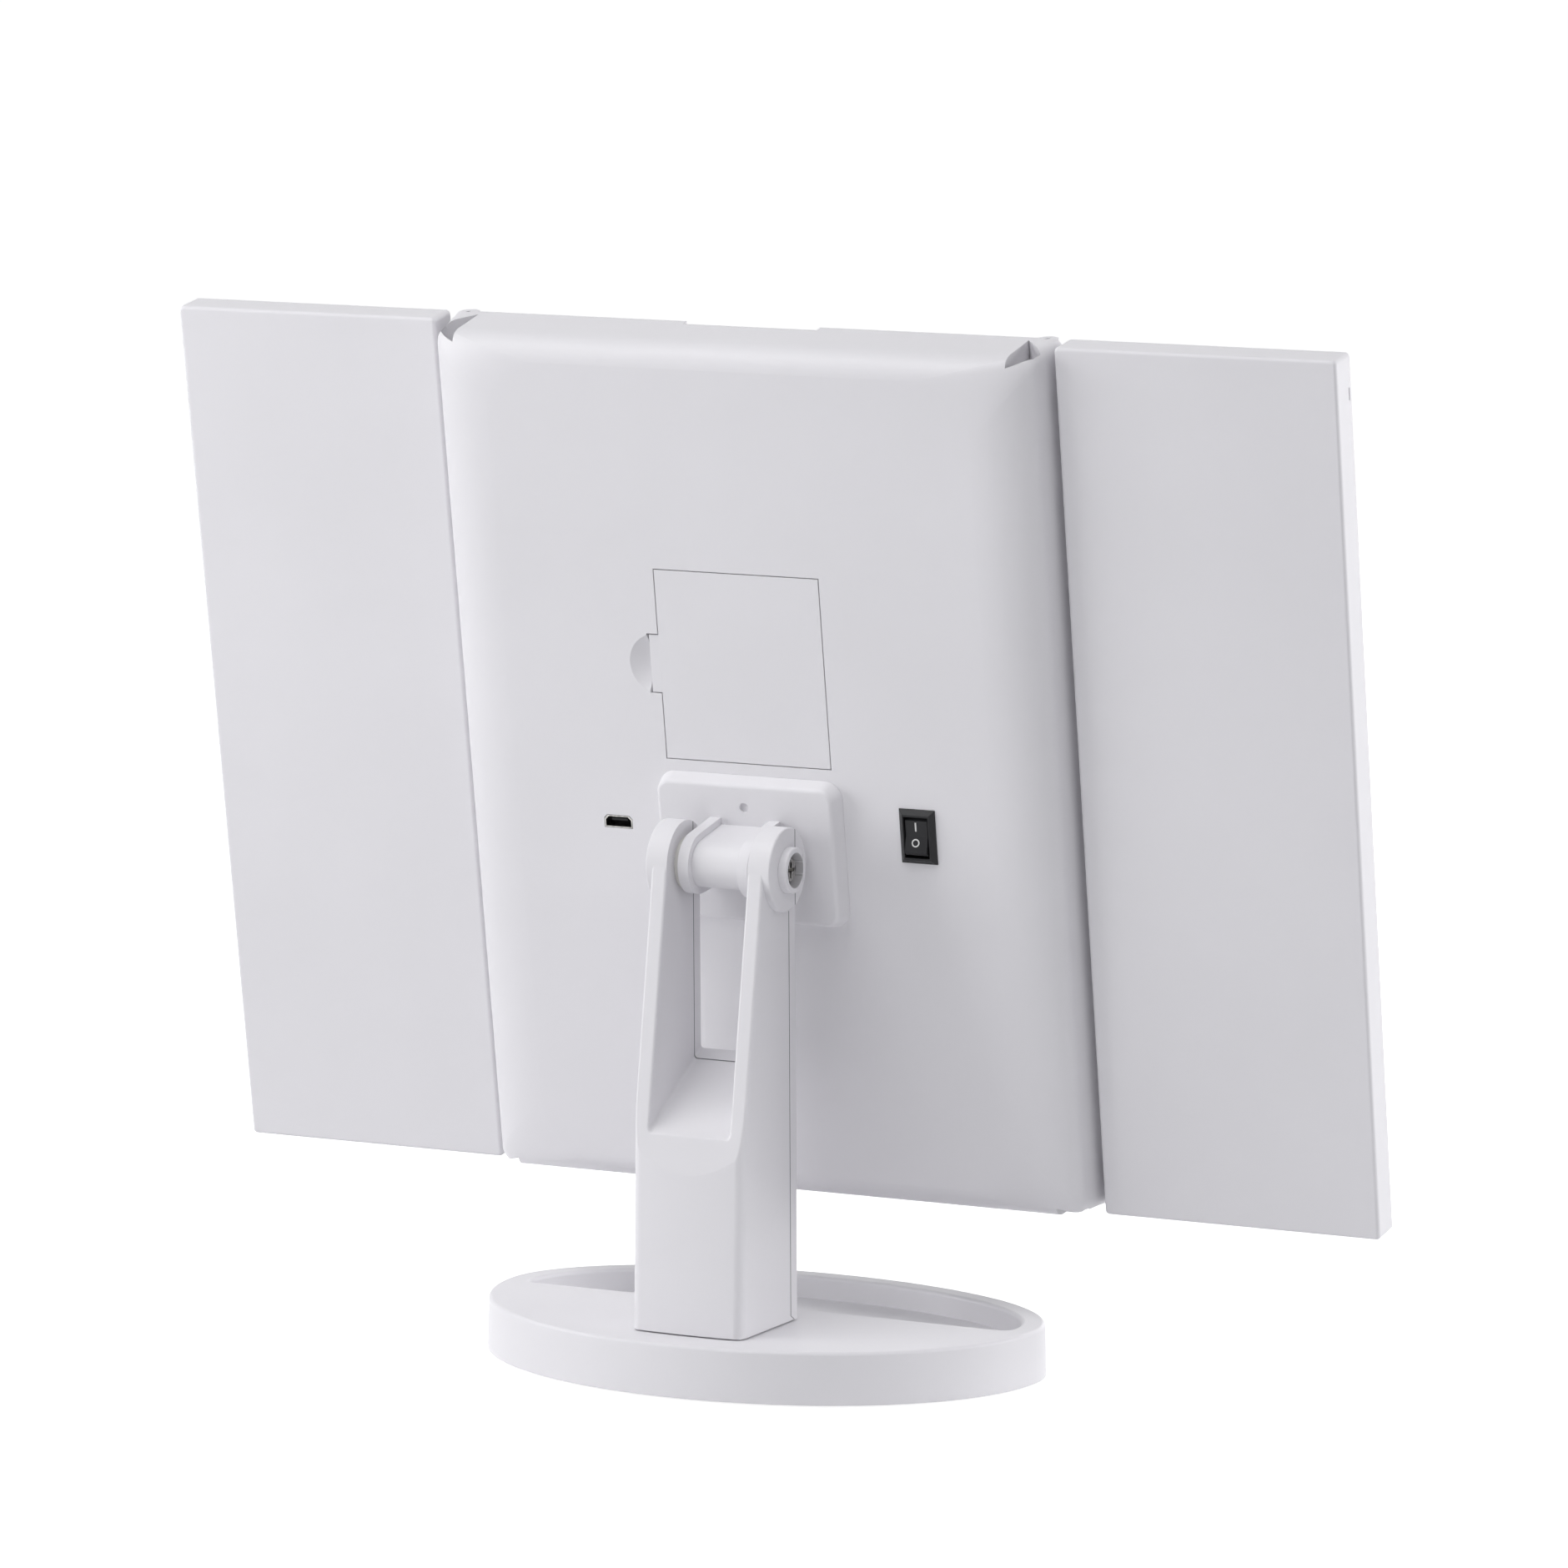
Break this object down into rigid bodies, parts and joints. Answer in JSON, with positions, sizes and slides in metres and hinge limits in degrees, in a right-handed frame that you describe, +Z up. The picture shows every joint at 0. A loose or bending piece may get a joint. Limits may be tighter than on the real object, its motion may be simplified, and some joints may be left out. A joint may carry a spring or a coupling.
{
  "type": "trifold vanity mirror",
  "caption": "Lit tabletop vanity mirror: a centre panel with two folding wings on a tilting forked stand with an oval tray base.",
  "frame": {"origin": "on the table under the middle of the oval base, at the underside of the rubber feet", "axes": "+Z up, the glass faces -Y towards the user, +X to the user's right along the open wings"},
  "size_m": [0.3404, 0.1108, 0.2822],
  "materials": {
    "white_plastic": "fine satin moulded ABS",
    "white_gloss": "smooth moulded ABS",
    "mirror_glass": "silvered glass with a bevelled edge",
    "frosted": "translucent frosted acrylic",
    "steel": "zinc plated screws",
    "nickel": "nickel plated",
    "black_plastic": "smooth black nylon",
    "nylon": "natural nylon",
    "clear_rubber": "soft grey rubber",
    "board_white": "white solder mask",
    "board_green": "green solder mask",
    "led_yellow": "phosphor domes",
    "copper": "copper foil",
    "chip_black": "moulded packages"
  },
  "bodies": {
    "stand": {"base_shell": "white_plastic", "base_cover": "white_plastic", "rubber_feet": "clear_rubber", "base_cover_screws": "steel", "column_screws": "steel", "stand_rear_shell": "white_plastic", "stand_front_shell": "white_plastic", "pivot_screw": "steel", "pivot_nut": "steel", "pivot_washers": "nylon"},
    "mirror": {"hinge_bracket": "white_plastic", "bracket_screws": "steel", "rear_shell": "white_plastic", "front_frame": "white_gloss", "centre_glass": "mirror_glass", "light_diffuser": "frosted", "led_boards": "board_white", "leds": "led_yellow", "touch_sensor": "copper", "wing_hinge_pins": "steel", "battery_holder": "white_plastic", "battery_contacts": "nickel", "switch_housing": "black_plastic", "switch_terminals": "nickel", "usb_socket": "nickel", "usb_tongue": "black_plastic", "usb_board": "board_green", "control_board": "board_green", "board_components": "chip_black"},
    "door": {"battery_door": "white_plastic"},
    "rocker": {"switch_rocker": "black_plastic"},
    "right_wing": {"right_wing_cover": "white_plastic", "right_wing_frame": "white_gloss", "right_wing_glass": "mirror_glass"},
    "left_wing": {"left_wing_cover": "white_plastic", "left_wing_frame": "white_gloss", "magnifier_2x": "mirror_glass", "magnifier_3x": "mirror_glass"}
  },
  "joints": [
    {"name": "tilt", "type": "hinge", "parent": "stand", "child": "mirror", "pos_m": [0, 0.021, 0.1387], "axis": [-1, 0, 0], "range_deg": [-12, 80]},
    {"name": "right_wing_fold", "type": "hinge", "parent": "mirror", "child": "right_wing", "pos_m": [0.08535, -0.01721, 0.14544], "axis": [0, -0.1736, -0.9848], "range_deg": [0, 180]},
    {"name": "left_wing_fold", "type": "hinge", "parent": "mirror", "child": "left_wing", "pos_m": [-0.08535, -0.01721, 0.14544], "axis": [0, 0.1736, 0.9848], "range_deg": [0, 180]},
    {"name": "switch_rock", "type": "hinge", "parent": "mirror", "child": "rocker", "pos_m": [-0.0489, 0.00384, 0.14792], "axis": [-1, 0, 0], "range_deg": [0, 20]},
    {"name": "door_open", "type": "hinge", "parent": "mirror", "child": "door", "pos_m": [-0.02425, 0.01221, 0.19021], "axis": [0, 0.1736, 0.9848], "range_deg": [0, 75]}
  ]
}
